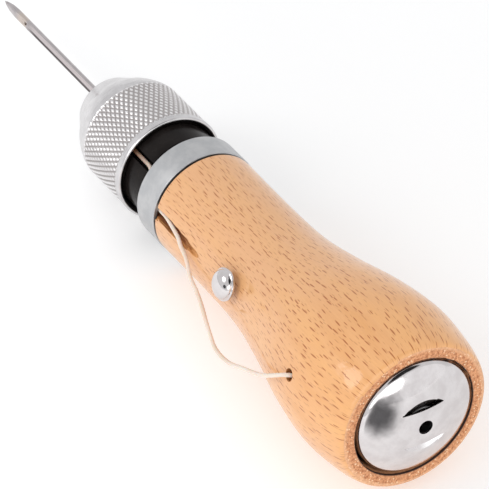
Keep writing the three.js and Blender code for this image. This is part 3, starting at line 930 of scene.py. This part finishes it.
def make_cap(finish):
    mouth, front, radius = extent("chuck_cap")
    bore = 11.4
    hole = 1.35
    lip = radius - 0.42
    steps = 10
    rows = np.arange(KNURL_START - 0.15, KNURL_END + 0.3, KNURL_SLOPE / steps)
    nose = [(radius - 0.05, KNURL_END + 0.45), (12.1, 114.5), (11.1, 117), (9.8, 119.2), (8.8, 121),
            (7.2, front)]
    shoulder = spline(nose, 8)
    inside = [(hole, 119.5), (2.8, 119.5), (5.2, 115.8), (5.2, 113.8), (bore, 113.8)]
    outline = [(bore, mouth + 0.9), (bore + 0.35, mouth + 0.25), (bore + 0.5, mouth + 0.05), (lip, mouth)]
    outline += rounded([(lip, mouth), (radius, mouth + 0.3), (radius, KNURL_START - 0.35)], 0.12)[1:]
    outline += [(radius, station) for station in rows]
    outline += shoulder[:-1] + rounded([shoulder[-2], shoulder[-1], (6.4, front)], 0.35)[1:]
    outline += [(4, front), (hole + 0.35, front), (hole + 0.08, front - 0.12), (hole, front - 0.5)]
    outline += inside + [(bore, 105)]

    def knurled(angle, r, station):
        """Two families of V grooves rolled into the rim, which run out at its ends."""
        round_share = angle * KNURL_CELLS / (2 * math.pi)
        along = (station - rows[0]) / KNURL_SLOPE
        grooves = [1 - np.abs(2 * ((along + way * round_share) % 1) - 1) for way in (1, -1)]
        depth = np.maximum(*[np.clip(1 - 1.25 * g, 0, 1) for g in grooves])
        fade_in = np.clip((station - KNURL_START + 0.15) / 0.35, 0, 1)
        fade_out = np.clip((KNURL_END + 0.2 - station) / 0.5, 0, 1)
        on_rim = (np.abs(r - radius) < 0.01) * (fade_in * fade_out)
        return r - KNURL_DEPTH * depth * on_rim, station

    points, faces = lathed(outline, KNURL_CELLS * steps, knurled, closed=True)
    cap = make_object("knurled_cap", points, faces, finish, crease=60)
    mount(cap, "cap", "aluminium", "chuck_cap")


def make_collet(finish):
    start, end, radius = extent("needle_collet")
    hole = 1.25
    middle = (start + end) / 2
    corners = [(hole, middle), (hole, start), (radius, start), (radius, 115.5), (2.45, end), (hole, end),
               (hole, middle)]
    points, faces = lathed(rounded(corners, 0.12)[:-1], 96, closed=True)
    collet = make_object("collet_jaws", points, faces, finish)
    slits = []
    for angle in (30, 150, 270):
        turned = Matrix.Rotation(math.radians(angle), 3, "Z")
        rings = [[turned @ Vector((x, y, z)) for x, y in ((0.2, -0.25), (6, -0.25), (6, 0.25), (0.2, 0.25))]
                 for z in (115.4, 120.4)]
        slits.append(make_object("slit", *loft(rings), finish))
    cut(collet, *slits)
    mount(collet, "needle_assembly", "brass", "needle_collet")


EYE_SIDE = -78  # side of the needle that its eye and scarf face
EYE_AT = 161.1
SHANK_END = 157  # where the round shank ends and the blade begins to flatten
LONG_GROOVE = (125.6, 159.8)  # its first and last station, as for the scarf
LONG_GROOVE_DEPTH = 0.4
SCARF = (160.2, 166.2)
SCARF_DEPTH = 0.55
EYE_LENGTH = 1.6
EYE_WIDTH = 0.62
GROOVE_SIDE = -92  # side of the needle with the long groove


def faded(station, span, run_in, run_out):
    """1 inside a span of stations, going down to 0 over a length at each end."""
    start, end = span
    return np.clip((station - start) / run_in, 0, 1) * np.clip((end - station) / run_out, 0, 1)


def make_needle(finish):
    tail, point, _ = extent("needle")
    sides = 64
    stations = np.concatenate([[tail, tail + 0.15], np.linspace(tail + 0.5, 125, 24),
                               np.linspace(125.4, SHANK_END, 60), np.linspace(157.3, point - 1.2, 70),
                               np.linspace(point - 1.1, point, 14)])
    width = np.interp(stations, [tail, tail + 0.15, tail + 0.5, SHANK_END, 163.5, 166, 168.5, 170.8, point],
                      [0.75, 0.9, 1.0, 1.0, 1.1, 1.14, 0.98, 0.46, 0.0])
    flat = np.interp(stations, [SHANK_END, 164, 168.5, 170.8, point], [1.0, 0.92, 0.72, 0.38, 0.0])
    turn = np.linspace(0, 2 * math.pi, sides, endpoint=False)
    rings = []
    for station, wide, thick in zip(stations, width, flat):
        thick = min(thick, wide) if station > SHANK_END else wide
        groove = LONG_GROOVE_DEPTH * faded(station, LONG_GROOVE, 3, 2)
        scarf = SCARF_DEPTH * faded(station, SCARF, 0.5, 3.6)
        at_eye = np.minimum(turn, 2 * math.pi - turn)
        at_groove = np.abs(turn - 2 * math.pi - math.radians(GROOVE_SIDE - EYE_SIDE))
        dip = groove * np.exp(-(at_groove / 0.5) ** 4) + scarf * np.exp(-(at_eye / 0.75) ** 4)
        rings.append(np.stack([(thick - dip) * np.cos(turn), wide * np.sin(turn) - dip * np.sin(turn),
                               np.full(sides, station)], -1))
    to_eye_side = Matrix.Rotation(math.radians(EYE_SIDE), 3, "Z")
    points, faces = loft(rings)
    needle = make_object("needle_blade", [to_eye_side @ Vector(p) for p in points], faces, finish)
    end = EYE_WIDTH / 2
    straight = (EYE_LENGTH - EYE_WIDTH) / 2
    outline = [(math.sin(a) * end, math.cos(a) * end + math.copysign(straight, math.cos(a)))
               for a in np.linspace(0.01, 2 * math.pi + 0.01, 25)[:-1]]
    rings = [[to_eye_side @ Vector((x, y, EYE_AT + z)) for y, z in outline] for x in (-2, 2)]
    cut(needle, make_object("eye", *loft(rings), finish))
    mount(needle, "needle_assembly", "needle_steel", "needle")


# ---------------- bobbin

DOME_CROWN_CURVE = 24.0
DOME_EDGE_CURVE = 1.9
DOME_HOLE_RADIUS = 1.6
DOME_SHEET = 0.5
LOUVRE_OFFSET = 4.15
LOUVRE_HALF = 4.9
DOME_SLACK = (0.12, 0.2)  # the bobbin hangs a little to one side of its bore
LOUVRE_RISE = 2.2
LOUVRE_DEPTH = 1.5


def dome_outline(crown_station, skirt_station, radius):
    """Crown and rolled edge of the dome from its centre hole to its skirt."""
    centre = crown_station + DOME_CROWN_CURVE
    edge_radius = radius - DOME_EDGE_CURVE
    reach = DOME_CROWN_CURVE - DOME_EDGE_CURVE
    edge_centre = centre - math.sqrt(reach**2 - edge_radius**2)
    tangent = math.asin(edge_radius / reach)
    start = math.asin(DOME_HOLE_RADIUS / DOME_CROWN_CURVE)
    outline = [(DOME_HOLE_RADIUS - 0.05, crown_station + 0.35)]
    outline += [(DOME_CROWN_CURVE * math.sin(t), centre - DOME_CROWN_CURVE * math.cos(t))
                for t in np.linspace(start, tangent, 44)]
    outline += [(edge_radius + DOME_EDGE_CURVE * math.sin(t), edge_centre - DOME_EDGE_CURVE * math.cos(t))
                for t in np.linspace(tangent, math.pi / 2, 14)[1:]]
    return outline + [(radius, skirt_station)]


def make_dome(*finishes):
    crown, skirt, radius = extent("bobbin_dome")
    outline = dome_outline(crown, skirt, radius)
    points, faces = lathed(outline, 192)
    faces = faces[:-2]
    mesh = bpy.data.meshes.new("dome_pressing")
    mesh.from_pydata([tuple(p) for p in points], [], faces)
    work = bmesh.new()
    work.from_mesh(mesh)
    for side in (1, -1):
        geometry = [*work.verts, *work.edges, *work.faces]
        edge_at = side * LOUVRE_OFFSET
        bmesh.ops.bisect_plane(work, geom=geometry, plane_co=(edge_at, 0, 0), plane_no=(1, 0, 0), dist=1e-4)
        slit = [edge for edge in work.edges
                if all(abs(v.co.x - edge_at) < 1e-3 and abs(v.co.y) < LOUVRE_HALF and v.co.z < 0
                       for v in edge.verts)]
        bmesh.ops.split_edges(work, edges=slit)
    for vertex in work.verts:
        dent_louvre(vertex)
    bmesh.ops.recalc_face_normals(work, faces=work.faces)
    work.to_mesh(mesh)
    work.free()
    for finish in finishes:
        mesh.materials.append(finish)
    # the dent by the upper louvre takes the painted shade, the one by the lower louvre the painted reflection
    for polygon in mesh.polygons:
        x, y, z = polygon.center
        share = 1 - (y / LOUVRE_HALF) ** 2
        if z < 1 and 0 < abs(x) - LOUVRE_OFFSET < (LOUVRE_RISE - 0.25) * share:
            polygon.material_index = 1 if x > 0 else 2
    dome = bpy.data.objects.new("dome_pressing", mesh)
    bpy.context.collection.objects.link(dome)
    sheet = dome.modifiers.new("sheet", "SOLIDIFY")
    sheet.thickness = DOME_SHEET
    sheet.offset = -1
    result = dome.evaluated_get(bpy.context.evaluated_depsgraph_get())
    solid = bpy.data.meshes.new_from_object(result)
    solid.transform(Matrix.Translation((*DOME_SLACK, 0)))
    dome.modifiers.clear()
    dome.data = solid
    smooth(solid, 38)
    mount(dome, "bobbin", "polished_steel", "bobbin_dome")


def dent_louvre(vertex):
    """Presses the half-moon outside a slit inwards, deepest at the middle of the slit."""
    x, y, z = vertex.co
    if z > 1 or abs(y) >= LOUVRE_HALF or not vertex.link_faces:
        return
    outer = sum(abs(face.calc_center_median().x) for face in vertex.link_faces) / len(vertex.link_faces)
    if outer < LOUVRE_OFFSET or abs(x) < LOUVRE_OFFSET - 1e-3:
        return
    width = LOUVRE_RISE * (1 - (y / LOUVRE_HALF) ** 2)
    share = 1 - (abs(x) - LOUVRE_OFFSET) / max(width, 1e-6)
    if share > 0:
        vertex.co.z += LOUVRE_DEPTH * (1 - (y / LOUVRE_HALF) ** 2) ** 0.75 * share**1.3


def make_flange(name, node, finish, holes):
    """A bobbin cheek with a rolled edge and a number of holes in a ring."""
    start, end, radius = extent(node)
    inner = 4.5
    drill = 0.9
    ring_radius = 11
    outline = rounded(ring_section(inner, start, radius, end), 0.18)
    points, faces = lathed(outline[:-1], 160, closed=True)
    flange = make_object(name, points, faces, finish)
    drills = []
    for k in range(holes):
        rod, rod_faces = lathed([(0, start - 1), (drill, start - 1), (drill, end + 1), (0, end + 1)], 24)
        place = around(0, 360 * (k + 0.5) / holes, ring_radius)
        drills.append(make_object("drill", [Vector(p) + place for p in rod], rod_faces, finish))
    if drills:
        cut(flange, *drills)
    mount(flange, "bobbin", "bobbin_steel", node)


def make_core(finish):
    start, end, radius = extent("bobbin_core")
    wall = 0.8
    outline = rounded(ring_section(radius - wall, start, radius, end), 0.2)
    points, faces = lathed(outline[:-1], 96, closed=True)
    mount(make_object("core_tube", points, faces, finish), "bobbin", "bobbin_steel", "bobbin_core")


def make_winding(finish):
    """Thread wound side by side round the core, with its top layer's turns showing."""
    start, end, radius = extent("thread_winding")
    turns = round((end - start) / THREAD_DIAMETER)
    pitch = (end - start) / turns
    stations = np.arange(start, end + 0.01, pitch / 9)
    outline = [(4.6, start), *[(radius, station) for station in stations], (4.6, end)]

    def wound(angle, r, station):
        phase = (station - start) / pitch - angle / (2 * math.pi)
        crown = np.sqrt(np.clip(1 - (2 * (phase % 1) - 1) ** 2, 0, 1))
        ply = 0.03 * np.sin(14 * angle + 9 * phase)
        heap = 0.15 * np.sin(station * 0.9 + 1.5 * np.cos(angle))
        surface = r > radius - 0.01
        slack = 0.15
        return r - surface * ((1 - crown) * 0.42 + ply + slack + heap), station

    points, faces = lathed(outline, 180, wound, closed=True)
    winding = make_object("wound_thread", points, faces, finish, crease=80)
    mount(winding, "bobbin", "waxed_thread", "thread_winding")


# ---------------- everything together

make_camera()
thread_finish = waxed_thread()
make_sewing_thread(thread_finish)
make_studio().data.materials.append(pale_floor())

make_handle(lacquered_beech(), end_grain(), raw_beech())
make_ferrule(satin_zinc())
steel = polished_steel()
make_tension_post(steel)
make_chuck(black_nylon())
make_cap(turned_aluminium())
make_collet(turned_brass())
make_needle(needle_steel())
make_dome(steel, shaded_steel(), painted_reflection_steel())
plated = plated_steel()
make_flange("outer_cheek", "bobbin_outer_flange", plated, 0)
make_flange("inner_cheek", "bobbin_inner_flange", plated, 8)
make_core(plated)
make_winding(thread_finish)
